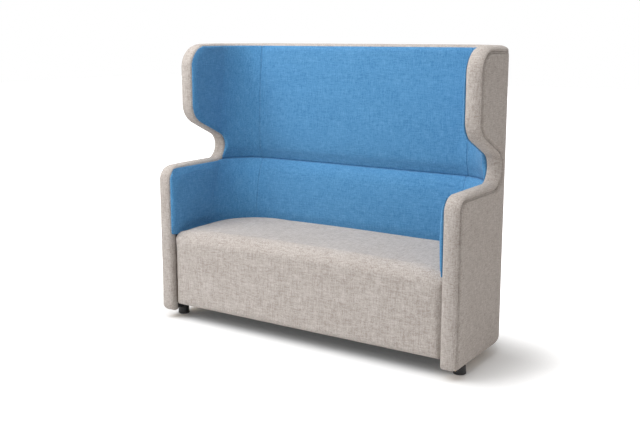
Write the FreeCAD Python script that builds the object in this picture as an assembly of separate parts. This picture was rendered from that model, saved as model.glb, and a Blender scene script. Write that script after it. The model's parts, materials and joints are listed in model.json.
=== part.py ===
import FreeCAD, Part
import math
import os

# High-back two-seat settee: a U-shaped upholstered shell with waisted wings,
# a bench seat, inner back and arm pads, and four levelling feet.
# Millimetres. X to the right, Y to the back, Z up, origin on the floor
# under the middle of the footprint.

V = FreeCAD.Vector
os.makedirs("parts", exist_ok=True)

# Overall sizes
WIDTH = 1620.0
DEPTH = 664.0
HEIGHT = 1362.0
FLOOR_GAP = 44.0
CORNER_RADIUS = 255.0

# Side outline: arm, waist and wing
ARM_HEIGHT = 776.0
ARM_SHOULDER = 74.0
WAIST_RADIUS = 64.0
WAIST_TO_BACK = 238.0
WING_SETBACK = 180.0
WING_START = 0.3737
CHIN_SHARE = 0.3
BROW_SHARE = 0.32

# Rim band along the front and top edges of the shell
RIM_WIDTH = 75.0
RIM_DEPTH = 26.0
RIM_ROUND = 24.0
RIM_INNER_ROUND = 8.0

# Fits between pieces
GAP = 0.3
SEAM = 1.0
RUN_FIT = 0.05
BOLT_FIT = 0.2

# Layers of the shell, from the outside in
OUTER_PAD = 12.0
OUTER_PAD_ROUND = 5.0
FRAME_T = 22.0
FORMER_T = 9.0
LINING_T = 6.0
COVER_T = 3.0

# Inner pads: how far their faces stand in from the outer shell
SIDE_AT_ARM = 84.0
SIDE_AT_WING = 80.0
BACK_AT_SEAT = 141.0
BACK_AT_CREASE = 104.0
BACK_AT_TOP = 80.0
INNER_RADIUS_SEAT = 250.0
INNER_RADIUS_CREASE = 205.0
INNER_RADIUS_TOP = 176.0
CREASE_HEIGHT = 768.0
PAD_CROWN = 7.0
PAD_TUCK = 13.0
PAD_ROLL = 0.2
PAD_LIP = 6.0
PAD_SEAM_INSET = 220.0
PAD_LEVELS = 7

# Lining behind the inner pads, in two tiers
LINING_BACK_LOW = 72.0
LINING_BACK_TOP = 52.0
LINING_RADIUS_LOW = 250.0
LINING_RADIUS_TOP = 205.0

# Seat
SEAT_HEIGHT = 452.0
SEAT_SETBACK = 26.0
SEAT_BASE = 334.0
SEAT_CROWN = 12.0
SEAT_DRAW_IN = 16.0
SEAT_SHOULDER = 70.0
SEAT_FRONT_ROUND = 46.0
SEAT_SIDE_GAP = 2.0
SKIRT_BOTTOM = 78.0
SKIRT_T = 25.0

# Seat box and base
RAIL_T = 28.0
FRONT_RAIL_BOTTOM = 84.0
CENTRE_RAIL_H = 80.0
BEAM_RECESS = 2.0
BEAM_H = 50.0
BRACE_ROOM = 8.0
STRAP_T = 2.0
STRAP_W = 50.0
SEAT_STRAPS = 11
CROSS_STRAPS = 4
DUST_COVER_T = 1.0

# Back frame
RIB_T = 22.0
RIB_INSET = 93.0
RIB_BAYS = 3
TOP_RAIL_H = 28.0
PLATE_T = 18.0
LUMBAR_STRAPS = 5
LUMBAR_STRAP_T = 3.0
WAIST_WEB = 34.0
WINDOW_EDGE = 0.19
WINDOW_ROUND = 0.3

# Levelling feet
FOOT_D = 57.0
FOOT_TOP_D = 53.0
FOOT_H = 37.0
FOOT_EDGE = 2.5
FOOT_FRONT_SETBACK = 127.0
FOOT_SIDE_INSET = 39.0
FOOT_REAR_INSET = 52.0
FOOT_REAR_SIDE_INSET = 250.0
STEM_D = 10.0
STEM_REACH = 40.0
STEM_SOCKET = 14.0
STEM_HEX = 17.0
NUT_BARREL_D = 13.0
NUT_BARREL_H = 14.0
NUT_FLANGE_D = 26.0
NUT_FLANGE_T = 1.6

# Bolts that hold the seat box to the side frames, and corner brackets
BOLT_D = 8.0
BOLT_HEX = 13.0
BOLT_HEAD_H = 5.5
BOLT_COUNT = 3
BOLT_END_ROOM = 32.0
BOLT_UNDER_TOP = 70.0
BOLT_NUT_D = 11.0
BOLT_NUT_FLANGE_D = 22.0
BOLT_NUT_FLANGE_T = 1.5
BRACKET_LEG = 45.0
BRACKET_T = 3.0
BRACKET_H = 70.0

# Places worked out from those sizes
HALF_W = WIDTH / 2
FRONT_Y = -DEPTH / 2
BACK_Y = DEPTH / 2
CORNER_X = HALF_W - CORNER_RADIUS
CORNER_Y = BACK_Y - CORNER_RADIUS
RIM_X = HALF_W - RIM_WIDTH
PAD_SEAM_X = HALF_W - PAD_SEAM_INSET
RIB_OUTER_X = CORNER_X - RIB_INSET
RIB_INNER_X = RIB_OUTER_X / RIB_BAYS
UNDER_RIM = HEIGHT - RIM_DEPTH - GAP
FRAME_OUT_X = HALF_W - OUTER_PAD - GAP
FRAME_IN_X = FRAME_OUT_X - FRAME_T
LINING_X = FRAME_IN_X - LINING_T
FORMER_IN = OUTER_PAD + GAP + FORMER_T
BOARD_FRONT_Y = BACK_Y - FORMER_IN
BEAM_Z = FLOOR_GAP + BEAM_RECESS
BEAM_TOP = BEAM_Z + BEAM_H
BEAM_FRONT_Y = FRONT_Y + RIM_DEPTH + GAP
SIDE_RAIL_TOP = SEAT_BASE - STRAP_T
RAIL_TOP = SIDE_RAIL_TOP - STRAP_T
RAIL_IN_X = FRAME_IN_X - RAIL_T
SEAT_FRONT_Y = FRONT_Y + SEAT_SETBACK
FRONT_RAIL_Y = SEAT_FRONT_Y + SKIRT_T + GAP
RIB_LOW_Y = BACK_Y - LINING_BACK_LOW + LINING_T
RIB_TOP_Y = BACK_Y - LINING_BACK_TOP + LINING_T
REAR_RAIL_Y = RIB_LOW_Y - RAIL_T
WAIST_Y = BACK_Y - WAIST_TO_BACK
SIDE_END_Y = WAIST_Y + RIM_DEPTH + WAIST_WEB
SEAT_BACK_Y = BACK_Y - BACK_AT_SEAT - SEAT_SIDE_GAP
WING_LOW = ARM_HEIGHT + (HEIGHT - ARM_HEIGHT) * WING_START
WING_CHIN = (HEIGHT - WING_LOW) * CHIN_SHARE
WING_BROW = (HEIGHT - WING_LOW) * BROW_SHARE
FAR = WIDTH


def save(name, shape):
    shape.exportStep("parts/" + name + ".step")


def box(x0, x1, y0, y1, z0, z1):
    return Part.makeBox(x1 - x0, y1 - y0, z1 - z0, V(x0, y0, z0))


def mirrored(shape):
    return shape.mirror(V(0, 0, 0), V(1, 0, 0))


def save_pair(name, right):
    save(name + "_right", right)
    save(name + "_left", mirrored(right))


def rounded_wire(corners, place):
    """Closed wire through (a, b, radius) corners; place turns (a, b) into a point."""
    count = len(corners)
    entries = []
    for i in range(count):
        a, b, radius = corners[i]
        here = V(a, b, 0)
        before = V(corners[i - 1][0], corners[i - 1][1], 0) - here
        after = V(corners[(i + 1) % count][0], corners[(i + 1) % count][1], 0) - here
        before.normalize()
        after.normalize()
        half = before.getAngle(after) / 2
        reach = radius / math.tan(half) if radius else 0.0
        middle = before + after
        inward = here
        if radius:
            middle.normalize()
            inward = here + middle * (radius / math.sin(half) - radius)
        entries.append((here + before * reach, inward, here + after * reach, radius))
    edges = []
    for i in range(count):
        start, inward, end, radius = entries[i]
        if radius:
            arc = Part.Arc(place(start), place(inward), place(end))
            edges.append(arc.toShape())
        following = entries[(i + 1) % count][0]
        if (following - end).Length > GAP:
            edges.append(Part.LineSegment(place(end), place(following)).toShape())
    return Part.Wire(edges)


def side_prism(corners, x0, x1):
    """Solid between x0 and x1 with an outline given in (y, z, radius) corners."""
    wire = rounded_wire(corners, lambda p: V(x0, p.x, p.y))
    return Part.Face(wire).extrude(V(x1 - x0, 0, 0))


def plan_prism(corners, z0, z1):
    """Solid between z0 and z1 with an outline given in (x, y, radius) corners."""
    wire = rounded_wire(corners, lambda p: V(p.x, p.y, z0))
    return Part.Face(wire).extrude(V(0, 0, z1 - z0))


def bay(half, back, radius, front=-FAR):
    """Corners of a bay in plan: open to the front, rounded at the rear."""
    return [(-half, front, 0), (-half, back, radius), (half, back, radius), (half, front, 0)]


def shell_block(inset, z0, z1):
    """The shell's plan, moved in by inset, between two heights."""
    return plan_prism(bay(HALF_W - inset, BACK_Y - inset, CORNER_RADIUS - inset), z0, z1)


def outline(inset, bottom, tail):
    """Side outline of arm, waist and wing, moved in by inset, ending at y = tail."""
    front = FRONT_Y + inset
    arm = ARM_HEIGHT - inset
    wing = FRONT_Y + WING_SETBACK
    waist_y = WAIST_Y - WAIST_RADIUS
    waist_z = ARM_HEIGHT + WAIST_RADIUS
    # The wing's underside is the tangent from its lower front corner to the waist
    run = waist_y - wing
    drop = WING_LOW - waist_z
    slope = math.atan2(drop, run) - math.asin(WAIST_RADIUS / math.hypot(run, drop))
    low = WING_LOW + inset / math.cos(slope) - inset * math.tan(slope)
    nook = wing + inset + (low - arm) / math.tan(slope)
    return [
        (front, bottom, 0),
        (front, arm, ARM_SHOULDER - inset),
        (nook, arm, WAIST_RADIUS + inset),
        (wing + inset, low, WING_CHIN - inset),
        (wing + inset, HEIGHT - inset, WING_BROW - inset),
        (tail, HEIGHT - inset, 0),
        (tail, bottom, 0),
    ]


def edges_along(solid, wire, test):
    """Edges of solid that lie on the given wire and pass the test."""
    found = []
    for edge in solid.Edges:
        mid = edge.valueAt((edge.FirstParameter + edge.LastParameter) / 2)
        if test(edge) and wire.distToShape(Part.Vertex(mid))[0] < GAP / 2:
            found.append(edge)
    return found


# Where the side rim gives way to the top rim
def beyond_side_rim(start):
    return box(-FAR, FAR, start, 2 * FAR, WING_LOW, HEIGHT + FAR)


# Rim band, sides: arm front, arm top, waist, wing front and wing top
def side_rim():
    corners = outline(0, FLOOR_GAP, FAR)
    solid = side_prism(corners, RIM_X, HALF_W)
    core = side_prism(outline(RIM_DEPTH, -FAR, 2 * FAR), RIM_X - GAP, HALF_W + GAP)
    ring = solid.cut(core).cut(beyond_side_rim(CORNER_Y))

    def long_edge(edge):
        flat = edge.BoundBox.XLength < GAP
        return flat and edge.BoundBox.ZMax > FLOOR_GAP + GAP

    outer = rounded_wire(corners, lambda p: V(HALF_W, p.x, p.y))
    inner = rounded_wire(corners, lambda p: V(RIM_X, p.x, p.y))
    ring = ring.makeFillet(RIM_ROUND, edges_along(ring, outer, long_edge))
    ring = ring.makeFillet(RIM_INNER_ROUND, edges_along(ring, inner, long_edge))
    return ring.common(shell_block(0, FLOOR_GAP, HEIGHT))


save_pair("side_rim", side_rim())


# Rim band, top: round both rear corners and along the back
def top_rim_plan(grow, z0, z1):
    return shell_block(RIM_WIDTH + grow, z0, z1)


def top_rim():
    z0 = HEIGHT - RIM_DEPTH
    band = shell_block(0, z0, HEIGHT).cut(top_rim_plan(0, z0 - GAP, HEIGHT + GAP))
    band = band.common(box(-FAR, FAR, CORNER_Y + SEAM, FAR, z0 - GAP, HEIGHT + GAP))

    def top_edge(edge):
        level = edge.BoundBox.ZMin > HEIGHT - GAP
        return level and edge.BoundBox.YMax > CORNER_Y + SEAM + GAP

    hull = bay(HALF_W, BACK_Y, CORNER_RADIUS)
    hollow = bay(RIM_X, BACK_Y - RIM_WIDTH, CORNER_RADIUS - RIM_WIDTH)
    outer = rounded_wire(hull, lambda p: V(p.x, p.y, HEIGHT))
    inner = rounded_wire(hollow, lambda p: V(p.x, p.y, HEIGHT))
    band = band.makeFillet(RIM_ROUND, edges_along(band, outer, top_edge))
    return band.makeFillet(RIM_INNER_ROUND, edges_along(band, inner, top_edge))


save("top_rim", top_rim())


# Outer covers, padded: side with rear corner, and back
def outer_cover():
    under_rim = HEIGHT - RIM_DEPTH - SEAM
    sheet = shell_block(0, FLOOR_GAP, under_rim)
    sheet = sheet.cut(shell_block(OUTER_PAD, -FAR, HEIGHT + FAR))
    side = sheet.common(side_prism(outline(RIM_DEPTH + SEAM, -FAR, FAR), CORNER_X + SEAM, FAR))
    back = sheet.common(box(-CORNER_X, CORNER_X, CORNER_Y, FAR, -FAR, FAR))
    return side, back


cover_side, cover_back = outer_cover()
face_rim = [e for e in cover_back.Edges if e.BoundBox.YMin > BACK_Y - GAP]
save("outer_back_cover", cover_back.makeFillet(OUTER_PAD_ROUND, face_rim))


def on_shell_face(edge):
    """True for the edges round the outer face of a side cover."""
    for vertex in edge.Vertexes:
        p = vertex.Point
        turn = math.hypot(p.x - CORNER_X, max(p.y - CORNER_Y, 0))
        if turn < CORNER_RADIUS - GAP:
            return False
    return True


def into_corner(edge):
    """True for the line where the flat side runs into the rear corner."""
    return abs(edge.CenterOfMass.y - CORNER_Y) < GAP and edge.BoundBox.YLength < GAP


side_edges = [e for e in cover_side.Edges if on_shell_face(e) and not into_corner(e)]
save_pair("outer_side_cover", cover_side.makeFillet(OUTER_PAD_ROUND, side_edges))


# Inner faces of the pads: crowned, tucked in at the crease, rolled over the corner
def roll(t):
    """0 over most of a pad, rising to 1 as a quarter round at t = 1."""
    into = max(t - (1 - PAD_ROLL), 0) / PAD_ROLL
    return 1 - math.sqrt(max(1 - into * into, 0))


def hollow_wire(side, back, radius, z, grow):
    corners = bay(HALF_W - side + grow, BACK_Y - back + grow, radius + grow)
    return rounded_wire(corners, lambda p: V(p.x, p.y, z))


def between(first, last, share):
    return first + (last - first) * share


def lower_hollow(grow):
    """Space in front of the arm and lumbar pads, up to the crease."""
    wires = []
    for k in range(PAD_LEVELS + 1):
        t = math.sin(math.pi / 2 * k / PAD_LEVELS)
        swell = PAD_CROWN * math.sin(math.pi * t) - PAD_TUCK * roll(t)
        back = between(BACK_AT_SEAT, BACK_AT_CREASE, t) + swell
        radius = between(INNER_RADIUS_SEAT, INNER_RADIUS_CREASE, t)
        z = between(SEAT_HEIGHT, CREASE_HEIGHT, t)
        wires.append(hollow_wire(SIDE_AT_ARM + swell, back, radius, z, grow))
    loft = Part.makeLoft(wires, True, True)
    well = bay(HALF_W - SIDE_AT_ARM + grow, BACK_Y - BACK_AT_SEAT + grow, INNER_RADIUS_SEAT + grow)
    return loft.fuse(plan_prism(well, 0, SEAT_HEIGHT))


def upper_hollow(grow):
    """Space in front of the wing and upper back pads, from the crease to the top."""
    wires = []
    for k in range(PAD_LEVELS + 1):
        t = 1 - math.sin(math.pi / 2 * (1 - k / PAD_LEVELS))
        swell = PAD_CROWN * math.sin(math.pi * t) - PAD_TUCK * roll(1 - t)
        back = between(BACK_AT_CREASE, BACK_AT_TOP, t) + swell
        radius = between(INNER_RADIUS_CREASE, INNER_RADIUS_TOP, t)
        z = between(CREASE_HEIGHT, HEIGHT, t)
        wires.append(hollow_wire(SIDE_AT_WING + swell, back, radius, z, grow))
    return Part.makeLoft(wires, True, True)


def lower_bay(grow):
    """Everything in front of the lower tier of the lining."""
    corners = bay(LINING_X + grow, BACK_Y - LINING_BACK_LOW + grow, LINING_RADIUS_LOW + grow)
    return plan_prism(corners, SEAT_BASE, CREASE_HEIGHT - GAP)


def upper_bay(grow):
    """Everything in front of the upper tier of the lining."""
    corners = bay(LINING_X + grow, BACK_Y - LINING_BACK_TOP + grow, LINING_RADIUS_TOP + grow)
    return plan_prism(corners, CREASE_HEIGHT + GAP, HEIGHT)


def without(shape, others):
    for other in others:
        shape = shape.cut(other)
    return shape


# Room that the rim bands take, with their clearance
def rim_room():
    solid = side_prism(outline(-RIM_DEPTH, -FAR, FAR), RIM_X - GAP, FAR)
    side = solid.cut(side_prism(outline(RIM_DEPTH + GAP, -2 * FAR, 2 * FAR), 0, 2 * FAR))
    side = side.cut(beyond_side_rim(CORNER_Y + GAP))
    top = box(-FAR, FAR, CORNER_Y - GAP, FAR, UNDER_RIM, HEIGHT + FAR)
    top = top.cut(top_rim_plan(GAP, 0, 2 * FAR))
    return [side, mirrored(side), top]


rim_space = rim_room()


def pads(hollow, room):
    """Foam and cover of one tier of pads, each as right side and middle."""
    slab = without(room(-GAP), rim_space)
    slab = slab.common(side_prism(outline(PAD_LIP, -FAR, FAR), -FAR, FAR))
    side = slab.common(box(PAD_SEAM_X + SEAM / 2, FAR, -FAR, FAR, 0, HEIGHT))
    middle = slab.common(box(SEAM / 2 - PAD_SEAM_X, PAD_SEAM_X - SEAM / 2, 0, FAR, 0, HEIGHT))
    found = []
    for piece in (side, middle):
        foam = piece.cut(hollow(COVER_T + GAP))
        cover = piece.common(hollow(COVER_T)).cut(hollow(0.0))
        found.append((foam, cover))
    return found


(arm_foam, arm_cover), (lumbar_foam, lumbar_cover) = pads(lower_hollow, lower_bay)
save_pair("arm_foam", arm_foam)
save_pair("arm_cover", arm_cover)
save("lumbar_foam", lumbar_foam)
save("lumbar_cover", lumbar_cover)

(wing_foam, wing_cover), (back_foam, back_cover) = pads(upper_hollow, upper_bay)
save_pair("wing_foam", wing_foam)
save_pair("wing_cover", wing_cover)
save("upper_back_foam", back_foam)
save("upper_back_cover", back_cover)


# Seat: one bench cushion whose cover runs over the front edge down to the skirt
def seat_section(x, inset, top):
    front = SEAT_FRONT_Y + inset
    under = SKIRT_BOTTOM + inset
    corners = [
        (front, under, 0),
        (front, top - inset, SEAT_FRONT_ROUND - inset),
        (SEAT_BACK_Y, top - inset, 0),
        (SEAT_BACK_Y, SEAT_BASE + GAP, 0),
        (SEAT_FRONT_Y + SKIRT_T, SEAT_BASE + GAP, 0),
        (SEAT_FRONT_Y + SKIRT_T, under, 0),
    ]
    return rounded_wire(corners, lambda p: V(x, p.x, p.y))


def seat_block(inset):
    """Bench seat, crowned along its width and drawn in at both ends."""
    half = HALF_W - SIDE_AT_ARM - SEAT_SIDE_GAP - inset
    steps = PAD_LEVELS + 1
    wires = []
    for k in range(-steps, steps + 1):
        share = math.sin(math.pi / 2 * k / steps)
        x = half * share
        end = max(abs(x) - (half - SEAT_SHOULDER), 0) / SEAT_SHOULDER
        drop = SEAT_DRAW_IN * (1 - math.sqrt(max(1 - end * end, 0)))
        top = SEAT_HEIGHT + SEAT_CROWN * (1 - share * share) - drop
        wires.append(seat_section(x, inset, top))
    solid = Part.makeLoft(wires, True, True)
    radius = INNER_RADIUS_SEAT - SEAT_SIDE_GAP - inset
    corners = bay(half, SEAT_BACK_Y - inset, radius)
    return solid.common(plan_prism(corners, 0, HEIGHT))


seat_foam = seat_block(COVER_T + GAP)
save("seat_foam", seat_foam)
save("seat_cover", seat_block(0.0).cut(seat_block(COVER_T)))


# Side frame: plywood cut to the outline, with two windows
def windowed_side():
    tail = CORNER_Y
    inset = RIM_DEPTH + GAP
    panel = side_prism(outline(inset, BEAM_TOP, SIDE_END_Y), FRAME_IN_X, FRAME_OUT_X)
    panel = panel.common(shell_block(OUTER_PAD + GAP, 0, HEIGHT))
    arm_window = (FRONT_Y + inset, tail, SEAT_BASE, ARM_HEIGHT - inset)
    wing_window = (FRONT_Y + WING_SETBACK + inset, tail, WING_LOW, HEIGHT - inset)
    for front, rear, low, high in (arm_window, wing_window):
        side = (rear - front) * WINDOW_EDGE
        level = (high - low) * WINDOW_EDGE
        curve = min(side, level) * WINDOW_ROUND / WINDOW_EDGE / 2
        corners = [
            (front + side, low + level, curve),
            (front + side, high - level, curve),
            (rear - side, high - level, curve),
            (rear - side, low + level, curve),
        ]
        panel = panel.cut(side_prism(corners, -FAR, FAR))
    return panel


# Bolts through the seat's side rails into tee nuts in the side frames
rail_end = math.sqrt((CORNER_RADIUS - FORMER_IN - BRACE_ROOM) ** 2 - (FRAME_IN_X - CORNER_X) ** 2)
RAIL_END_Y = CORNER_Y + rail_end
first_bolt = FRONT_RAIL_Y + RAIL_T + BRACKET_LEG + BOLT_END_ROOM
last_bolt = CORNER_Y - BOLT_END_ROOM
bolt_step = (last_bolt - first_bolt) / (BOLT_COUNT - 1)
BOLT_Z = RAIL_TOP - BOLT_UNDER_TOP
bolt_rows = [first_bolt + bolt_step * k for k in range(BOLT_COUNT)]
ALONG_X = V(1, 0, 0)
UP = V(0, 0, 1)


def rod(x0, x1, y, diameter):
    return Part.makeCylinder(diameter / 2, x1 - x0, V(x0, y, BOLT_Z), ALONG_X)


def hexagon(across, place):
    """Closed hexagon wire, across flats, drawn through place."""
    radius = across / math.sqrt(3)
    turns = [math.pi / 3 * k for k in range(7)]
    return Part.makePolygon([place(radius * math.cos(a), radius * math.sin(a)) for a in turns])


side_frame = windowed_side()
side_rail = box(RAIL_IN_X, FRAME_IN_X, FRONT_RAIL_Y, RAIL_END_Y, BEAM_TOP, SIDE_RAIL_TOP)
bolts = []
bolt_nuts = []
for y in bolt_rows:
    head = hexagon(BOLT_HEX, lambda a, b: V(RAIL_IN_X - BOLT_HEAD_H, y + a, BOLT_Z + b))
    head = Part.Face(head).extrude(V(BOLT_HEAD_H, 0, 0))
    bolts.append(head.fuse(rod(RAIL_IN_X, FRAME_OUT_X - BOLT_NUT_FLANGE_T, y, BOLT_D)))
    flange = rod(FRAME_OUT_X - BOLT_NUT_FLANGE_T, FRAME_OUT_X, y, BOLT_NUT_FLANGE_D)
    barrel = rod(FRAME_IN_X + FRAME_T / 2, FRAME_OUT_X - BOLT_NUT_FLANGE_T, y, BOLT_NUT_D)
    bore = rod(0, FRAME_OUT_X - BOLT_NUT_FLANGE_T + GAP, y, BOLT_D + 2 * RUN_FIT)
    bolt_nuts.append(flange.fuse(barrel).removeSplitter().cut(bore))
    side_rail = side_rail.cut(rod(0, FAR, y, BOLT_D + 2 * BOLT_FIT))
    side_frame = side_frame.cut(rod(0, FAR, y, BOLT_D + 2 * BOLT_FIT))
    nest = rod(FRAME_IN_X + FRAME_T / 2 - BOLT_FIT, FAR, y, BOLT_NUT_D + 2 * BOLT_FIT)
    rebate = rod(FRAME_OUT_X - BOLT_NUT_FLANGE_T, FAR, y, BOLT_NUT_FLANGE_D + 2 * BOLT_FIT)
    side_frame = side_frame.cut(nest).cut(rebate)
save_pair("side_frame", side_frame)
save_pair("seat_side_rail", side_rail)
save("frame_bolts", Part.makeCompound(bolts + [mirrored(b) for b in bolts]))
save("frame_tee_nuts", Part.makeCompound(bolt_nuts + [mirrored(n) for n in bolt_nuts]))


# Rear of the shell: bent corner formers and back board
former = shell_block(OUTER_PAD + GAP, BEAM_Z, UNDER_RIM)
former = former.cut(shell_block(FORMER_IN, -FAR, HEIGHT + FAR))
save_pair("corner_former", former.common(box(CORNER_X, FAR, SIDE_END_Y, FAR, 0, HEIGHT)))
save("back_board", former.common(box(-CORNER_X, CORNER_X, CORNER_Y, FAR, 0, HEIGHT)))

# Lining behind the pads, bent round each inner corner, and the upper back panel
sheets = []
for room in (lower_bay, upper_bay):
    sheet = without(room(LINING_T), rim_space).cut(room(0.0))
    sheet = sheet.common(side_prism(outline(RIM_DEPTH + GAP, -FAR, FAR), -FAR, FAR))
    sheets.append(sheet.common(box(RIB_OUTER_X, FAR, -FAR, FAR, 0, UNDER_RIM)))
save_pair("inner_lining", Part.makeCompound(sheets))
panel = box(
    -RIB_OUTER_X, RIB_OUTER_X, RIB_TOP_Y - LINING_T, RIB_TOP_Y, CREASE_HEIGHT + GAP, UNDER_RIM
)
save("upper_back_panel", panel)

# Elastic straps across the ribs behind the lumbar pad
pitch = (CREASE_HEIGHT - SEAT_BASE) / LUMBAR_STRAPS
strap_front = RIB_LOW_Y - LUMBAR_STRAP_T
straps = []
for k in range(LUMBAR_STRAPS):
    low = SEAT_BASE + pitch * (k + 1 / 2) - STRAP_W / 2
    straps.append(box(-RIB_OUTER_X, RIB_OUTER_X, strap_front, RIB_LOW_Y, low, low + STRAP_W))
save("lumbar_straps", Part.makeCompound(straps))


# Ribs between lining and back board, stepped back above the crease
def rib(x):
    top = UNDER_RIM - TOP_RAIL_H
    corners = [
        (RIB_LOW_Y, BEAM_TOP, 0),
        (RIB_LOW_Y, CREASE_HEIGHT, 0),
        (RIB_TOP_Y, CREASE_HEIGHT, 0),
        (RIB_TOP_Y, top, 0),
        (BOARD_FRONT_Y, top, 0),
        (BOARD_FRONT_Y, BEAM_TOP, 0),
    ]
    return side_prism(corners, x - RIB_T / 2, x + RIB_T / 2)


save_pair("back_rib_outer", rib(RIB_OUTER_X))
save_pair("back_rib_inner", rib(RIB_INNER_X))
save("top_rail", box(-CORNER_X, CORNER_X, RIB_TOP_Y, BOARD_FRONT_Y, UNDER_RIM - TOP_RAIL_H, UNDER_RIM))

# Corner plates that hold formers and lining apart, at the crease and under the rim
plates = []
for top, room in ((CREASE_HEIGHT - GAP, lower_bay), (UNDER_RIM, upper_bay)):
    plate = shell_block(FORMER_IN + GAP, top - PLATE_T, top)
    plate = without(plate, rim_space).cut(room(LINING_T + GAP))
    plate = plate.cut(box(FRAME_IN_X, FAR, -FAR, SIDE_END_Y, 0, HEIGHT))
    plates.append(plate.common(box(CORNER_X, FAR, CORNER_Y, FAR, 0, HEIGHT)))
save_pair("corner_plates", Part.makeCompound(plates))

# Base beams that carry the shell on its feet
side_beam = box(RAIL_IN_X, FRAME_OUT_X, BEAM_FRONT_Y, SIDE_END_Y, BEAM_Z, BEAM_TOP)
side_beam = side_beam.common(shell_block(OUTER_PAD + GAP, 0, HEIGHT))
rear_room = shell_block(FORMER_IN, BEAM_Z, BEAM_TOP)
rear_half = HALF_W - FOOT_REAR_SIDE_INSET + FOOT_D
rear_beam = rear_room.common(
    box(-rear_half, rear_half, REAR_RAIL_Y, BOARD_FRONT_Y, 0, HEIGHT)
)

# Seat box: front, rear, centre and corner members between the side rails
brace_x = CORNER_X + math.sqrt(
    (CORNER_RADIUS - FORMER_IN - BRACE_ROOM) ** 2 - (RIB_LOW_Y - CORNER_Y) ** 2
)
brace = plan_prism(
    [
        (RAIL_IN_X, RAIL_END_Y, 0),
        (FRAME_IN_X, RAIL_END_Y, 0),
        (brace_x, RIB_LOW_Y, 0),
        (brace_x - RAIL_T, RIB_LOW_Y, 0),
    ],
    BEAM_TOP,
    RAIL_TOP,
)
save("seat_corner_braces", Part.makeCompound([brace, mirrored(brace)]))
front_rail = box(
    -RAIL_IN_X, RAIL_IN_X, FRONT_RAIL_Y, FRONT_RAIL_Y + RAIL_T, FRONT_RAIL_BOTTOM, RAIL_TOP
)
save("seat_front_rail", front_rail)
rear_rail = box(-brace_x, brace_x, REAR_RAIL_Y, RIB_LOW_Y, BEAM_TOP, RAIL_TOP)
save("seat_rear_rail", rear_rail.cut(brace).cut(mirrored(brace)))
centre_rail = box(
    -RAIL_T / 2, RAIL_T / 2, FRONT_RAIL_Y + RAIL_T, REAR_RAIL_Y, RAIL_TOP - CENTRE_RAIL_H, RAIL_TOP
)
save("seat_centre_rail", centre_rail)

# Elastic straps under the seat: front to back, and crosswise over them
seat_straps = []
span = 2 * (RAIL_IN_X - RAIL_T)
for k in range(SEAT_STRAPS):
    x = -span / 2 + span * (k + 1 / 2) / SEAT_STRAPS
    ends = (FRONT_RAIL_Y, RIB_LOW_Y)
    seat_straps.append(box(x - STRAP_W / 2, x + STRAP_W / 2, *ends, RAIL_TOP, SIDE_RAIL_TOP))
reach = RAIL_END_Y - FRONT_RAIL_Y
for k in range(CROSS_STRAPS):
    y = FRONT_RAIL_Y + reach * (k + 1 / 2) / CROSS_STRAPS
    half = RAIL_IN_X + RAIL_T / 2
    seat_straps.append(box(-half, half, y - STRAP_W / 2, y + STRAP_W / 2, SIDE_RAIL_TOP, SEAT_BASE))
save("seat_straps", Part.makeCompound(seat_straps))

# Dust cover under the seat box
dust_top = FRONT_RAIL_BOTTOM
dust = box(
    -RAIL_IN_X + RAIL_T, RAIL_IN_X - RAIL_T, FRONT_RAIL_Y, REAR_RAIL_Y, dust_top - DUST_COVER_T, dust_top
)
save("dust_cover", dust.common(shell_block(FORMER_IN + GAP, 0, HEIGHT)))

# Steel brackets in the front corners of the seat box
inner_y = FRONT_RAIL_Y + RAIL_T
bracket_z = RAIL_TOP - BRACKET_H - BRACKET_T
bracket_top = bracket_z + BRACKET_H
leg_x = box(RAIL_IN_X - BRACKET_LEG, RAIL_IN_X, inner_y, inner_y + BRACKET_T, bracket_z, bracket_top)
leg_y = box(RAIL_IN_X - BRACKET_T, RAIL_IN_X, inner_y, inner_y + BRACKET_LEG, bracket_z, bracket_top)
bracket = leg_x.fuse(leg_y).removeSplitter()
save("corner_brackets", Part.makeCompound([bracket, mirrored(bracket)]))


# Levelling feet: a round pad turning under a threaded stem in a tee nut
def upright(x, y, z0, z1, diameter):
    return Part.makeCylinder(diameter / 2, z1 - z0, V(x, y, z0), UP)


def foot_pad(x, y):
    """Round pad, tapered to the top, chamfered below, with the stem's socket."""
    base = FOOT_D / 2
    crown = FOOT_TOP_D / 2
    points = [
        V(0, 0, 0),
        V(base - FOOT_EDGE, 0, 0),
        V(base, 0, FOOT_EDGE),
        V(crown, 0, FOOT_H - FOOT_EDGE),
        V(crown - FOOT_EDGE, 0, FOOT_H),
        V(0, 0, FOOT_H),
        V(0, 0, 0),
    ]
    solid = Part.Face(Part.makePolygon(points)).revolve(V(0, 0, 0), UP, 360)
    solid.translate(V(x, y, 0))
    return solid.cut(upright(x, y, FOOT_H - STEM_SOCKET, HEIGHT, STEM_D + 2 * RUN_FIT))


def foot_stem(x, y):
    """Threaded stem with a hexagon just above the pad."""
    low = FOOT_H + GAP
    high = BEAM_Z - GAP
    nut = Part.Face(hexagon(STEM_HEX, lambda a, b: V(x + a, y + b, low)))
    shank = upright(x, y, FOOT_H - STEM_SOCKET + GAP, BEAM_Z + STEM_REACH, STEM_D)
    return shank.fuse(nut.extrude(V(0, 0, high - low))).removeSplitter()


def foot_nut(x, y):
    """Tee nut let into the underside of a beam."""
    flange = upright(x, y, BEAM_Z, BEAM_Z + NUT_FLANGE_T, NUT_FLANGE_D)
    barrel = upright(x, y, BEAM_Z, BEAM_Z + NUT_BARREL_H, NUT_BARREL_D)
    nut = flange.fuse(barrel).removeSplitter()
    return nut.cut(upright(x, y, 0, HEIGHT, STEM_D + 2 * RUN_FIT))


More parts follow.
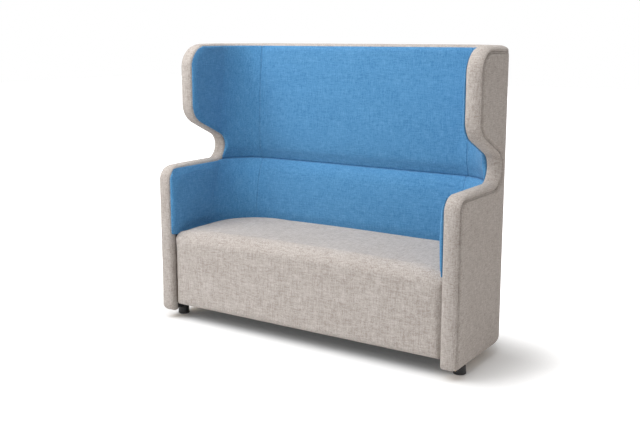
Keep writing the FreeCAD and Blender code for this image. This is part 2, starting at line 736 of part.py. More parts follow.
def foot_seat(x, y):
    """Hole in a beam for the tee nut and the stem above it."""
    flange = upright(x, y, 0, BEAM_Z + NUT_FLANGE_T, NUT_FLANGE_D + 2 * BOLT_FIT)
    barrel = upright(x, y, 0, BEAM_Z + NUT_BARREL_H, NUT_BARREL_D + 2 * BOLT_FIT)
    stem = upright(x, y, 0, BEAM_Z + STEM_REACH + GAP, STEM_D + 2 * BOLT_FIT)
    return flange.fuse(barrel).fuse(stem)


feet = {
    "front": (HALF_W - FOOT_SIDE_INSET, FRONT_Y + FOOT_FRONT_SETBACK),
    "rear": (HALF_W - FOOT_REAR_SIDE_INSET, BACK_Y - FOOT_REAR_INSET),
}
foot_nuts = []
for place, (x, y) in feet.items():
    save_pair("foot_pad_" + place, foot_pad(x, y))
    save_pair("foot_stem_" + place, foot_stem(x, y))
    foot_nuts.append(foot_nut(x, y))
    side_beam = side_beam.cut(foot_seat(x, y))
    rear_beam = rear_beam.cut(foot_seat(x, y)).cut(mirrored(foot_seat(x, y)))
save("foot_tee_nuts", Part.makeCompound(foot_nuts + [mirrored(n) for n in foot_nuts]))
save_pair("side_beam", side_beam)
save("rear_beam", rear_beam)
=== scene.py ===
# %% [markdown]
# # A high-back settee, dressed in fabric
# The CAD model brings every solid of the settee: frame, foam, covers, feet. This lesson keeps the hard
# pieces as they are, gives them real finishes, and makes every soft piece anew, because foam under cloth
# never looks like a machined block. Units are metres, X to the right, Y to the back, Z up.

# %% Load the CAD frame
import bpy
import json
import math
import numpy as np
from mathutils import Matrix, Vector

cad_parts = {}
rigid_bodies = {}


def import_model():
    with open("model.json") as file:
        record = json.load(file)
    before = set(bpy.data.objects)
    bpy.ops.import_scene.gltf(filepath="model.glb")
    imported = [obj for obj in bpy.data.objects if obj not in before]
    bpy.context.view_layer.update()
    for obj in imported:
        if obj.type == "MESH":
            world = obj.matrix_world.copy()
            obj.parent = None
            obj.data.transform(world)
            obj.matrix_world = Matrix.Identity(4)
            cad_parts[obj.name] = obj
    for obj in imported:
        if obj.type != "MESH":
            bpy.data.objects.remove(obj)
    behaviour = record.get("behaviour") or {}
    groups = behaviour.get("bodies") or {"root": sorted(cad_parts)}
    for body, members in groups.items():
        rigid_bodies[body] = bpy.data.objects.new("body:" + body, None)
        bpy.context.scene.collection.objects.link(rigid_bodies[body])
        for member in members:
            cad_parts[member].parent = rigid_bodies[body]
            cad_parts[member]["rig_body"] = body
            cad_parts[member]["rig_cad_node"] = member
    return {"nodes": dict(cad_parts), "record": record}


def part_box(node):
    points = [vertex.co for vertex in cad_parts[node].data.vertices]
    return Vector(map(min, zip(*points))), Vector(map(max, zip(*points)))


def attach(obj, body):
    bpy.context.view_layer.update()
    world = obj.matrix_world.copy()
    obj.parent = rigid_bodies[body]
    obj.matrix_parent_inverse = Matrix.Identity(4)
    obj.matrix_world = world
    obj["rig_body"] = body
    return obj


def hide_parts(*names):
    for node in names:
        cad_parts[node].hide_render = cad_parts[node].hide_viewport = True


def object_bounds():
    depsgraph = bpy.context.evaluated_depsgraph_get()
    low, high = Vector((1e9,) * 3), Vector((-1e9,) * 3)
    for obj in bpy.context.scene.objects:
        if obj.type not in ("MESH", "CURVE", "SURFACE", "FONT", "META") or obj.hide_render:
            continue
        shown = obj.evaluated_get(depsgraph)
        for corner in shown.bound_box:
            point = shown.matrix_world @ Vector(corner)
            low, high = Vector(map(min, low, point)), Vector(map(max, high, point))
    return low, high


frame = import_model()
cad_low, cad_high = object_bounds()
scene = bpy.context.scene
print("solids:", len(frame["nodes"]), "box:", tuple(round(v, 3) for v in cad_high - cad_low))

# %% [markdown]
# ## Selecting and applying
# Most of Blender's operators act on whatever is selected, so every step starts from an empty selection.
# A modifier that is applied at once turns into plain mesh, and the next step can build on it.


# %% Small helpers for operators
def pick(*pieces):
    """Selects only these objects, the last one active."""
    if bpy.context.object and bpy.context.object.mode != "OBJECT":
        bpy.ops.object.mode_set(mode="OBJECT")
    bpy.ops.object.select_all(action="DESELECT")
    for piece in pieces:
        piece.select_set(True)
        bpy.context.view_layer.objects.active = piece


def finish_with(piece, kind, **settings):
    """Adds one modifier to a piece and applies it."""
    pick(piece)
    modifier = piece.modifiers.new(kind.lower(), kind)
    for key, value in settings.items():
        setattr(modifier, key, value)
    bpy.ops.object.modifier_apply(modifier=modifier.name)


def points_of(piece):
    """The piece's vertices as an array of rows."""
    flat = np.empty(len(piece.data.vertices) * 3)
    piece.data.vertices.foreach_get("co", flat)
    return flat.reshape(-1, 3)


def set_points(piece, points):
    """Puts the piece's vertices where the rows of an array say."""
    piece.data.vertices.foreach_set("co", np.ascontiguousarray(points).ravel())
    piece.data.update()


pick()
print("selected:", len(bpy.context.selected_objects))

# %% [markdown]
# ## Shader sums as Python sums
# A fabric needs a good deal of arithmetic between textures. One small class wraps a node's output, so that
# `1 - mask * 0.3` adds the Math nodes by itself. Every other node comes from its one `node` method.


# %% A wrapped socket
class Wire:
    """The output of a shader node, with sums and products as Math nodes."""

    def __init__(self, tree, out=None):
        self.tree = tree
        self.out = out

    def node(self, kind, settings=None, inputs=None, out=0):
        """A new node of one kind: its settings first, then the values or wires of its sockets."""
        made = self.tree.nodes.new("ShaderNode" + kind)
        for key, value in (settings or {}).items():
            setattr(made, key, value)
        for key, value in (inputs or {}).items():
            if isinstance(value, Wire):
                self.tree.links.new(value.out, made.inputs[key])
            else:
                made.inputs[key].default_value = value
        return Wire(self.tree, made.outputs[out]) if made.outputs else None

    def maths(self, operation, *values):
        """A Math node on wires and numbers."""
        return self.node("Math", {"operation": operation}, dict(enumerate(values)))

    def __add__(self, other):
        return self.maths("ADD", self, other)

    def __sub__(self, other):
        return self.maths("SUBTRACT", self, other)

    def __rsub__(self, other):
        return self.maths("SUBTRACT", other, self)

    def __mul__(self, other):
        return self.maths("MULTIPLY", self, other)

    __radd__ = __add__
    __rmul__ = __mul__

    def between(self, low, high):
        """0 below low, 1 above high, smooth from one to the other."""
        return self.node("MapRange", {"interpolation_type": "SMOOTHSTEP"}, {0: self, 1: low, 2: high})

    def mixed(self, first, second):
        """first where this is 0, second where it is 1, for colours."""
        return self.node("Mix", {"data_type": "RGBA"}, {0: self, 6: first, 7: second}, 2)


def new_material(name):
    """An empty node material with its Principled shader and Object coordinates."""
    made = bpy.data.materials.new(name)
    made.use_nodes = True
    shader = made.node_tree.nodes["Principled BSDF"]
    root = Wire(made.node_tree)
    return made, shader, root, root.node("TexCoord", out=3)


def plug(shader, name, wire):
    """Joins a wire to one input of a shader."""
    wire.tree.links.new(wire.out, shader.inputs[name])


print("one class for shader maths:", Wire.__name__)

# %% [markdown]
# ## The woven wool fabric
# Covers and pads wear the same cloth in two colours: a matt wool weave spun from mixed fibres, so each yarn
# is a little lighter or darker than the next. A flat image would need UVs, and the remesh below removes
# them. Noise in Object coordinates works on every side instead: stretched along X, Y and Z in turn, it
# draws yarns that cross on any flat face, and sine waves add the weave itself for near views.


# %% Fabric material
def split(root, place):
    """The X, Y and Z of a vector as three wires."""
    node = root.node("SeparateXYZ", inputs={0: place}).out.node
    return [Wire(root.tree, node.outputs[k]) for k in range(3)]


def noise(root, place, scale, detail, rough, twist=0.0):
    """Noise of one scale, with finer layers by detail, their strength by rough, and twisted lines."""
    inputs = {"Vector": place, "Scale": scale, "Detail": detail, "Roughness": rough, "Distortion": twist}
    return root.node("TexNoise", inputs=inputs)


def drawn_out(root, place, stretch):
    """Coordinates scaled by a different number on each axis."""
    return root.node("Mapping", inputs={"Vector": place, "Scale": stretch})


def yarns(root, place, stretch):
    """Noise drawn out along one axis, like yarns that run that way."""
    return noise(root, drawn_out(root, place, stretch), scale=1.0, detail=2.0, rough=0.55)


def woven(name, deep, plain, bright, pitch=0.0016, along=30.0, across=210.0):
    """Matt cloth in three tones: pitch is the weave's, along and across say how slim its yarns are."""
    made, shader, root, place = new_material(name)
    cross = yarns(root, place, (along, across, across)) + yarns(root, place, (across, along, across))
    cross = (cross + yarns(root, place, (across, across, along))) * (1 / 3)
    fleck = noise(root, place, scale=330.0, detail=2.0, rough=0.6)
    cloud = noise(root, place, scale=9.0, detail=3.0, rough=0.6)
    tone = cross * 0.74 + fleck * 0.19 + cloud * 0.07
    low = tone.between(0.42, 0.50)
    high = tone.between(0.50, 0.59)
    plug(shader, "Base Color", high.mixed(low.mixed((*deep, 1), (*plain, 1)), (*bright, 1)))
    waves = [root.maths("SINE", axis * (2 * math.pi / pitch)) for axis in split(root, place)]
    weave = (waves[0] + waves[1] + waves[2]) * 0.16
    height = weave + cross * 1.4 + fleck * 0.5
    bump = root.node("Bump", inputs={"Strength": 0.4, "Distance": 0.0014, "Height": height})
    plug(shader, "Normal", bump)
    plug(shader, "Roughness", 0.98 - fleck * 0.14)
    shader.inputs["Sheen Weight"].default_value = 0.10
    shader.inputs["Sheen Roughness"].default_value = 0.6
    shader.inputs["Specular IOR Level"].default_value = 0.2
    return made


grey_wool = woven("grey_wool", (0.330, 0.287, 0.259), (0.428, 0.384, 0.352), (0.526, 0.486, 0.455))
blue_wool = woven("blue_wool", (0.049, 0.187, 0.377), (0.070, 0.235, 0.445), (0.102, 0.289, 0.512))
print("fabrics:", grey_wool.name, blue_wool.name)

# %% [markdown]
# ## A pad from its solids
# Each pad on the settee is a foam block with a sewn cover pulled over it. The start is a merged copy of the
# CAD solids of foam and cover. A voxel remesh turns it into even small squares that can bend, and a little
# smoothing rounds the sewn edges. Pads of one tier are sewn to each other, so they are remeshed as one
# strip and parted at their seams later on.


# %% Copy, remesh, round
def block(name, nodes, voxel, soften):
    """One even mesh from CAD solids, with softened edges."""
    pick(*[frame["nodes"][n] for n in nodes])
    bpy.ops.object.duplicate()
    bpy.ops.object.join()
    piece = bpy.context.object
    bpy.ops.object.parent_clear(type="CLEAR_KEEP_TRANSFORM")
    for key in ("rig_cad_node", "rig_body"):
        del piece[key]
    piece.name = piece.data.name = name
    piece.data.materials.clear()
    bpy.ops.object.mode_set(mode="EDIT")
    bpy.ops.mesh.select_all(action="SELECT")
    bpy.ops.mesh.remove_doubles(threshold=0.0002)
    bpy.ops.object.mode_set(mode="OBJECT")
    finish_with(piece, "REMESH", mode="VOXEL", voxel_size=voxel, use_smooth_shade=True)
    finish_with(piece, "SMOOTH", factor=0.5, iterations=soften)
    print(name, "points:", len(piece.data.vertices))
    return piece


# %% [markdown]
# ## Swelling
# A cover over foam is never quite flat. A short cloth simulation with air pressure inside lets it fill out.
# Each point's movement is evened with its neighbours' and held under a cap, and only faces that are free to
# swell move at all: a pad doesn't grow into the frame behind it or the pad beside it.


# %% Cloth under pressure
def ease(values, low, high):
    """0 below low, 1 above high, smooth between."""
    share = np.clip((values - low) / (high - low), 0, 1)
    return share * share * (3 - 2 * share)


def evened(piece, moved, rounds=12):
    """Averages each point's movement with its neighbours', so that no wrinkle of a face or two is left."""
    ends = np.empty(len(piece.data.edges) * 2, dtype=np.int32)
    piece.data.edges.foreach_get("vertices", ends)
    one, other = ends.reshape(-1, 2).T
    total = len(moved)
    count = np.bincount(ends, minlength=total)[:, None]
    for _ in range(rounds):
        near = [np.bincount(one, moved[other, k], total) + np.bincount(other, moved[one, k], total)
                for k in range(3)]
        moved = (moved + np.stack(near, axis=1) / count) / 2
    return moved


def swell(piece, free, cap, pressure=5.0, steps=7):
    """Lets the cover fill out where free is 1, each point by no more than the cap."""
    before = points_of(piece)
    pick(piece)
    cloth = piece.modifiers.new("cloth", "CLOTH")
    cloth.settings.quality = 3
    cloth.settings.use_pressure = True
    cloth.settings.uniform_pressure_force = pressure
    cloth.settings.effector_weights.gravity = 0
    cloth.settings.tension_stiffness = cloth.settings.compression_stiffness = 25
    cloth.settings.bending_stiffness = 2.0
    cloth.point_cache.frame_end = steps
    for step in range(1, steps + 1):
        scene.frame_set(step)
    bpy.ops.object.modifier_apply(modifier=cloth.name)
    scene.frame_set(1)
    moved = evened(piece, points_of(piece) - before)
    reach = np.linalg.norm(moved, axis=1, keepdims=True)
    moved *= np.minimum(1, cap / np.maximum(reach, 1e-9)) * free[:, None]
    set_points(piece, before + moved)
    print(piece.name, "swelled by mm:", round(float(np.linalg.norm(moved, axis=1).max()) * 1000, 1))


print("swelling left out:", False)

# %% [markdown]
# ## Where the shell's skin is
# Seen from above, the shell is a rectangle with round rear corners. One function gives, for any point, how
# far inside that skin it lies and which way is out. It says which faces of a pad look into the room, and
# where a rim's outer edge is. The outer sizes come from the CAD box, the rest from the part's drawing.

# %% The shell in plan
HALF_WIDTH, BACK, HEIGHT = (round(v, 4) for v in cad_high)
CORNER = 0.255
CORNER_START = BACK - CORNER
LOWER_EDGE = 0.044
RIM_WIDTH, RIM_DEPTH, SEAM_GAP = 0.075, 0.026, 0.0005


def shell_plan(points):
    """How far each point lies inside the shell's skin, and the way out as unit vectors."""
    across = np.maximum(np.abs(points[:, 0]) - (HALF_WIDTH - CORNER), 0) * np.sign(points[:, 0])
    along = np.maximum(points[:, 1] - CORNER_START, 0)
    reach = np.maximum(np.hypot(across, along), 1e-9)
    out = np.stack([across / reach, along / reach, np.zeros_like(reach)], axis=1)
    return CORNER - reach, out


def normals_of(piece):
    """The normals of the piece's vertices as an array of rows."""
    flat = np.empty(len(piece.data.vertices) * 3)
    piece.data.vertices.foreach_get("normal", flat)
    return flat.reshape(-1, 3)


print("shell in plan:", 2 * HALF_WIDTH, "by", 2 * BACK, "corner radius", CORNER)

# %% [markdown]
# ## Parting sewn pieces
# Two sewn pads meet in a line. Extra edge loops are cut along it with the bisect tool, the points next to
# it are pulled in a little, as the thread does, and then the faces beyond the line become a piece of their
# own, closed where they were cut.


# %% Seams and parting
def sewn(piece, x, depth=0.0028, width=0.0055):
    """A sewn line round the piece at one x."""
    pick(piece)
    bpy.ops.object.mode_set(mode="EDIT")
    for share in (-1.0, -0.5, -0.2, 0.0, 0.2, 0.5, 1.0):
        bpy.ops.mesh.select_all(action="SELECT")
        bpy.ops.mesh.bisect(plane_co=(x + share * width, 0, 0), plane_no=(1, 0, 0))
    bpy.ops.object.mode_set(mode="OBJECT")
    points = points_of(piece)
    pull = depth * (1 - ease(np.abs(points[:, 0] - x), 0.0, width)) ** 2
    set_points(piece, points - normals_of(piece) * pull[:, None])


def part_off(piece, name, beyond):
    """Makes the faces that beyond() picks a closed piece of its own."""
    pick(piece)
    flat = np.empty(len(piece.data.polygons) * 3)
    piece.data.polygons.foreach_get("center", flat)
    bpy.ops.object.mode_set(mode="EDIT")
    bpy.ops.mesh.select_mode(type="FACE")
    bpy.ops.mesh.select_all(action="DESELECT")
    bpy.ops.object.mode_set(mode="OBJECT")
    piece.data.polygons.foreach_set("select", beyond(flat.reshape(-1, 3)))
    bpy.ops.object.mode_set(mode="EDIT")
    bpy.ops.mesh.separate(type="SELECTED")
    bpy.ops.object.mode_set(mode="OBJECT")
    other = [o for o in bpy.context.selected_objects if o is not piece][0]
    other.name = other.data.name = name
    for half in (piece, other):
        pick(half)
        bpy.ops.object.mode_set(mode="EDIT")
        bpy.ops.mesh.select_all(action="SELECT")
        bpy.ops.mesh.fill_holes(sides=0)
        bpy.ops.mesh.select_all(action="SELECT")
        bpy.ops.mesh.normals_make_consistent(inside=False)
        bpy.ops.object.mode_set(mode="OBJECT")
    print(name, "faces:", len(other.data.polygons), "left on", piece.name, len(piece.data.polygons))
    return other


def dress(piece, fabric, nodes):
    """Fabric, smooth shading, a place on the shell, and the solids that the piece stands for."""
    piece.data.materials.clear()
    piece.data.materials.append(fabric)
    pick(piece)
    bpy.ops.object.shade_smooth()
    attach(piece, "shell")
    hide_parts(*nodes)


print("seam tools ready")

# %% [markdown]
# ## The seat
# One bench cushion with its cover running over the front edge down to the skirt, with no seam there. Top
# and front swell. The skirt's ends are stretched out to the arms behind its rounded front corners, so that
# only a thin dark line is left there.

# %% Seat cushion
SEAT_SOLIDS = ["seat_cover", "seat_foam"]
seat = block("seat", SEAT_SOLIDS, voxel=0.0075, soften=4)
facing = normals_of(seat)
swell(seat, ease(np.maximum(facing[:, 2], -facing[:, 1]), 0.2, 0.7), cap=0.006)

# %% Stretch the seat to the arms
EVERYWHERE, TO_ARMS, AT_CORNERS = 0.0015, 0.0078, 0.0125
# Each pair is where a change starts and where it ends.
PAD_FOOT, PAD_FRONT, SEAT_ENDS = (0.322, 0.334), (-0.266, -0.256), (0.60, 0.722)
CORNER_DEPTH, CORNER_TOP = (-0.306, -0.286), (0.37, 0.43)
points = points_of(seat)
below = 1 - ease(points[:, 2], *PAD_FOOT)
before_pads = 1 - ease(points[:, 1], *PAD_FRONT)
ends = ease(np.abs(points[:, 0]), *SEAT_ENDS)
corner = (1 - ease(points[:, 1], *CORNER_DEPTH)) * (1 - ease(points[:, 2], *CORNER_TOP))
stretch = EVERYWHERE + TO_ARMS * np.maximum(below, before_pads) - AT_CORNERS * corner
points[:, 0] += np.sign(points[:, 0]) * stretch * ends
set_points(seat, points)
dress(seat, grey_wool, SEAT_SOLIDS)
print("seat width:", round(float(np.ptp(points[:, 0])), 4))

# %% [markdown]
# ## The inner pads
# Blue pads line the shell in two tiers: arms and lumbar below the crease, wings and upper back above it.
# Upright seams divide them near the rear corners. Each tier is one strip of foam and cloth that swells into
# the room and is pressed flat against the other tier in the crease. Towards the crease both tiers lean
# back, the upper one more, so the lower pads catch the light along their top and hide the edge of the upper
# ones.

# %% Shape a strip at the crease
CREASE, CREASE_ZONE, OVERLAP = 0.768, 0.030, 0.004
ARM_PAD_FRONT, TUCK_TOP = -0.250, (0.427, 0.439)


def creased(points, reach, lean, lining):
    """Pad points with a tight edge at the crease, leaning back over reach, in front of their lining."""
    off = points[:, 2] - CREASE
    far = np.abs(off)
    near = np.interp(far, [far.min(), 0.010, CREASE_ZONE], [0.0002, 0.004, CREASE_ZONE])
    points[:, 2] = CREASE + np.sign(off) * np.where(far < CREASE_ZONE, near, far)
    inset, out = shell_plan(points)
    leaning = lean * np.clip(1 - far / reach, 0, 1) ** 3
    leaning *= ease(inset, lining, lining + 1.7 * lean) * ease(points[:, 1], 0.07, 0.13)
    points += out * leaning[:, None]
    points[:, 2] -= OVERLAP * (off > 0) * np.clip(1 - off / CREASE_ZONE, 0, 1)
    return points


print("crease at:", CREASE)

# %% [markdown]
# ## Parting the tiers
# The fronts of the arm pads are tucked in behind the seat's front corners first. Then each strip is sewn at
# its two seams and parted there, and each of its three pads stands for the foam and cover of its own place.


# %% Both tiers of pads
def tier(middle, side, above, seam, **crease):
    """A strip of three pads, from the solids of the middle one and the two sides."""
    places = ((middle, ""), (side, "_right"), (side, "_left"))
    nodes = [f"{name}_{kind}{end}" for kind in ("foam", "cover") for name, end in places]
    strip = block(f"{middle}_pad", nodes, voxel=0.0062, soften=4)
    out = shell_plan(points_of(strip))[1]
    into_room = ease(-(normals_of(strip) * out).sum(axis=1), 0.25, 0.75)
    swell(strip, into_room * ease(points_of(strip)[:, 2], above, above + 0.05), cap=0.005)
    points = points_of(strip)
    tuck = 1 - ease(points[:, 2], *TUCK_TOP)
    points[:, 1] += np.maximum(ARM_PAD_FRONT - points[:, 1], 0) * tuck
    set_points(strip, creased(points, **crease))
    for x in (seam, -seam):
        sewn(strip, x)
    right = part_off(strip, f"{side}_pad_right", lambda c: c[:, 0] > seam)
    left = part_off(strip, f"{side}_pad_left", lambda c: c[:, 0] < -seam)
    for piece, (name, end) in zip((strip, right, left), places):
        dress(piece, blue_wool, [f"{name}_foam{end}", f"{name}_cover{end}"])


tier("lumbar", "arm", above=0.45, seam=0.580, reach=0.110, lean=0.009, lining=0.073)
tier("upper_back", "wing", above=CREASE, seam=0.590, reach=0.130, lean=0.014, lining=0.053)

# %% [markdown]
# ## Upper edge of the pads
# The remesh leaves shallow dips in the pads' upper edge, which would show as notches under the rim. Points
# of the upper face, close under its highest point, are brought up to one level, except on the wings'
# rounded front corners.

# %% Level upper edge
for name in ("upper_back_pad", "wing_pad_right", "wing_pad_left"):
    pad = bpy.data.objects[name]
    points = points_of(pad)
    top = points[:, 2].max()
    level = ease(normals_of(pad)[:, 2], 0.3, 0.7) * (points[:, 2] > top - 0.012)
    level *= ease(points[:, 1], 0.02, 0.07)
    points[:, 2] += (top - points[:, 2]) * level
    set_points(pad, points)
print("upper pads level at:", round(float(top), 4))

# %% [markdown]
# ## The side outline
# Arm front, arm top, waist and wing make one line of straights and arcs, which the rim follows. It is
# worked out here once more from the settee's own sizes, at any distance inside the edge, because the rim's
# round section and its welt both need it.


# %% Straights and arcs
def rounded(corners, step=0.004):
    """Points along straights between corners (a, b, radius), with arcs at the corners."""
    corners = np.array(corners)
    path = [corners[0, :2]]
    for before, here, after in zip(corners, corners[1:], corners[2:]):
        back = (before - here)[:2] / np.linalg.norm((before - here)[:2])
        on = (after - here)[:2] / np.linalg.norm((after - here)[:2])
        half = math.acos(np.clip(back @ on, -1, 1)) / 2
        middle = here[:2] + (back + on) / np.linalg.norm(back + on) * here[2] / math.sin(half)
        start = here[:2] + back * here[2] / math.tan(half)
        end = here[:2] + on * here[2] / math.tan(half)
        for t in np.linspace(0, 1, max(int((math.pi - 2 * half) * here[2] / step), 2)):
            spoke = start + (end - start) * t - middle
            path.append(middle + spoke / np.linalg.norm(spoke) * here[2])
    path.append(corners[-1, :2])
    dense = []
    for a, b in zip(path, path[1:]):
        count = max(int(np.linalg.norm(b - a) / step), 1)
        dense += [a + (b - a) * k / count for k in range(count)]
    return np.array(dense + [path[-1]])


ARM_TOP, ARM_RADIUS = 0.776, 0.074
WAIST_Y, WAIST_Z, WAIST_RADIUS = 0.030, 0.840, 0.064
WING_FRONT, WING_FOOT, WING_LOW_RADIUS, WING_TOP_RADIUS = -0.152, 0.995, 0.1101, 0.1174


def side_line(inset):
    """The side outline in (y, z), moved in by inset, from the arm's foot to the rear corner."""
    along, rise = WAIST_Y - WING_FRONT, WING_FOOT - WAIST_Z
    slope = math.atan2(rise, along) - math.asin(WAIST_RADIUS / math.hypot(along, rise))
    front, arm, wing, top = inset - BACK, ARM_TOP - inset, WING_FRONT + inset, HEIGHT - inset
    foot = WING_FOOT + inset / math.cos(slope) - inset * math.tan(slope)
    nook = wing + (foot - arm) / math.tan(slope)
    return rounded([
        (front, LOWER_EDGE, 0),
        (front, arm, ARM_RADIUS - inset),
        (nook, arm, WAIST_RADIUS + inset),
        (wing, foot, WING_LOW_RADIUS - inset),
        (wing, top, WING_TOP_RADIUS - inset),
        (CORNER_START, top, 0),
    ])


seam_line = side_line(RIM_DEPTH + SEAM_GAP)
print("seam line points:", len(seam_line))

# %% [markdown]
# ## Rim bands
# A padded band of grey cloth runs up the arm front, over the arm, round the waist and up the wing, and
# along the top. It is fullest a little inside its middle and falls away in a curve to the seam on the
# outside. The solids give its place, the height over the seam line is scaled to that curve, and a light
# swell follows.

# %% Height over the seam
UPPER = 1.2
BATCH = 4000


def over_seam(points):
    """Height of rim points over the seam line, and the way up from it."""
    near = np.empty((len(points), 2))
    for first in range(0, len(points), BATCH):
        part = points[first:first + BATCH, 1:]
        gaps = ((part[:, None, :] - seam_line[None]) ** 2).sum(axis=2)
        near[first:first + BATCH] = seam_line[gaps.argmin(axis=1)]
    rise = np.zeros_like(points)
    rise[:, 1:] = points[:, 1:] - near
    top = (points[:, 1] > CORNER_START) & (points[:, 2] > UPPER)
    rise[top] = 0
    rise[top, 2] = points[top, 2] - (HEIGHT - RIM_DEPTH - SEAM_GAP)
    height = np.linalg.norm(rise, axis=1)
    return height, rise / np.maximum(height, 1e-9)[:, None]


def behind(points):
    """1 on the shell's upper rear corners and back, where the seam lies flatter, 0 on its sides."""
    return ease(points[:, 1], 0.0, 0.10) * (points[:, 2] > UPPER)


print("upper corners from:", UPPER)

# %% Rim section
FULLEST, OUTER_ARC, INNER_ARC = 0.42, 0.60, 0.70
SOLID_ROUND, SOLID_ROUND_FROM = 0.024, 0.68
FLANK = 0.010
rim = block("top_rim_band", ["side_rim_right", "side_rim_left", "top_rim"], voxel=0.005, soften=3)
points = points_of(rim)
height, up = over_seam(points)
inset, out = shell_plan(points)
share = np.clip(1 - inset / RIM_WIDTH, 0, 1)
side_share = np.where(share > FULLEST, (share - FULLEST) / OUTER_ARC, (FULLEST - share) / INNER_ARC)
round_top = RIM_DEPTH * np.sqrt(1 - side_share ** 2)
solid_share = np.clip((share - SOLID_ROUND_FROM) / (1 - SOLID_ROUND_FROM), 0, 1)
flat_top = RIM_DEPTH - SOLID_ROUND * (1 - np.sqrt(1 - solid_share ** 2))
lower = np.clip(round_top / np.maximum(flat_top, 0.002), 0.2, 1)
flank = FLANK * (1 - 0.75 * behind(points)) * (1 - ease(height * lower, 0.0, 0.017))
flank *= np.clip(1 - inset / 0.03, 0, 1)
set_points(rim, points + up * (height * (lower - 1))[:, None] - out * flank[:, None])
facing = (normals_of(rim) * up).sum(axis=1)
swell(rim, ease(facing, 0.1, 0.6) * ease(height, 0.006, 0.016), cap=0.0025)
print("rim lowered by mm at most:", round(float((height * (1 - lower)).max()) * 1000, 1))

# %% [markdown]
# ## Puckers and foot of the rim
# Cloth that goes round the tight inner curve of the waist bunches into small puckers across the band. At
# the foot of the arm, the band's end is rounded where the cloth is folded under, and the band's inner edge
# is turned in beside the seat.

# %% Waist puckers
PUCKER_DEPTH, PUCKER_REACH, PUCKER_TOP = 0.0015, 0.088, 0.93
points = points_of(rim)
height, up = over_seam(points)
along, rise = points[:, 1] - WAIST_Y, points[:, 2] - WAIST_Z
turn = np.arctan2(rise, along)
share = 1 - shell_plan(points)[0] / RIM_WIDTH
in_waist = (np.hypot(rise, along) < PUCKER_REACH) & (points[:, 2] < PUCKER_TOP)
where = in_waist * ease(np.cos(turn), 0.25, 0.8) * ease(share, 0.2, 0.5) * ease(height, 0.008, 0.02)
ripple = np.sin(29 * turn + 1.7 * np.sin(7 * turn) + 30 * np.abs(points[:, 0]))
set_points(rim, points + up * (PUCKER_DEPTH * where * ripple)[:, None])
print("points in the puckers:", int((where > 0).sum()))


# %% Folded foot and inner edge
def folded_under(piece, radius, thick):
    """Rounds the lower edge of a piece on the shell: its skin draws in towards the floor."""
    points = points_of(piece)
    into = np.clip((LOWER_EDGE + radius - points[:, 2]) / radius, 0, 1)
    draw = radius * (1 - np.sqrt(1 - into ** 2))
    inset, out = shell_plan(points)
    points -= out * (draw * np.clip(1 - inset / thick, 0, 1))[:, None]
    set_points(piece, points)
    return draw


TURN_IN, INNER_EDGE, EDGE_FRONT, EDGE_TOP = 0.0225, (0.060, 0.070), (-0.314, -0.308), (0.426, 0.440)
draw = folded_under(rim, radius=0.026, thick=0.05)
points = points_of(rim)
front = np.clip((RIM_DEPTH - BACK - points[:, 1]) / RIM_DEPTH, 0, 1)
turned_in = ease(shell_plan(points)[0], *INNER_EDGE) * ease(points[:, 1], *EDGE_FRONT)
turned_in *= 1 - ease(points[:, 2], *EDGE_TOP)
points[:, 1] += draw * front + TURN_IN * turned_in
set_points(rim, points)
print("foot drawn in by mm:", round(float(draw.max()) * 1000, 1))

# %% [markdown]
# ## Parting the rim
# The real band is sewn from three pieces, one for each side and one along the top. The bisect tool cuts the
# mesh where the rear corners start, and the sides become pieces of their own.

# %% Side rims and top rim
TOP_FROM = 1.25
pick(rim)
bpy.ops.object.mode_set(mode="EDIT")
bpy.ops.mesh.select_mode(type="FACE")
bpy.ops.mesh.select_all(action="DESELECT")
bpy.ops.object.mode_set(mode="OBJECT")
for face in rim.data.polygons:
    face.select = face.center[2] > TOP_FROM
bpy.ops.object.mode_set(mode="EDIT")
bpy.ops.mesh.bisect(plane_co=(0, CORNER_START, 0), plane_no=(0, 1, 0))
bpy.ops.object.mode_set(mode="OBJECT")


def on_side(centres):
    """Which faces belong to the side rims, by their middles."""
    return (centres[:, 2] < TOP_FROM) | (centres[:, 1] < CORNER_START)


rim_right = part_off(rim, "side_rim_right_band", lambda c: (c[:, 0] > 0) & on_side(c))
rim_left = part_off(rim, "side_rim_left_band", lambda c: (c[:, 0] < 0) & on_side(c))
dress(rim, grey_wool, ["top_rim"])
dress(rim_right, grey_wool, ["side_rim_right"])
dress(rim_left, grey_wool, ["side_rim_left"])

# %% [markdown]
# ## Outer covers
# Thin padded panels are stretched over the outside of the shell. They are taut, so they are remeshed and
# softened at the edges, and get no simulation. The lower edge is folded under the shell.

# %% Outer panels
PANEL_THICK, PANEL_FOLD = 0.012, 0.0085
PANELS = {
    "outer_panel_right": "outer_side_cover_right",
    "outer_panel_left": "outer_side_cover_left",
    "outer_panel_back": "outer_back_cover",
}
for name, node in PANELS.items():
    panel = block(name, [node], voxel=0.006, soften=2)
    folded_under(panel, radius=0.020, thick=PANEL_THICK)
    points = points_of(panel)
    height = over_seam(points)[0]
    inset, out = shell_plan(points)
    fold = PANEL_FOLD * (1 - 0.8 * behind(points)) * (1 - ease(height, 0.0, 0.013))
    fold *= np.clip(1 - inset / PANEL_THICK, 0, 1)
    set_points(panel, points - out * fold[:, None])
    dress(panel, grey_wool, [node])

# %% [markdown]
# ## The welt
# Between rim and outer panel a thin edging covered in the same cloth, a welt, is sewn into the seam. It
# follows the seam line up one side, round the back along the top, and down the other side. A curve with a
# round bevel gives the tube.

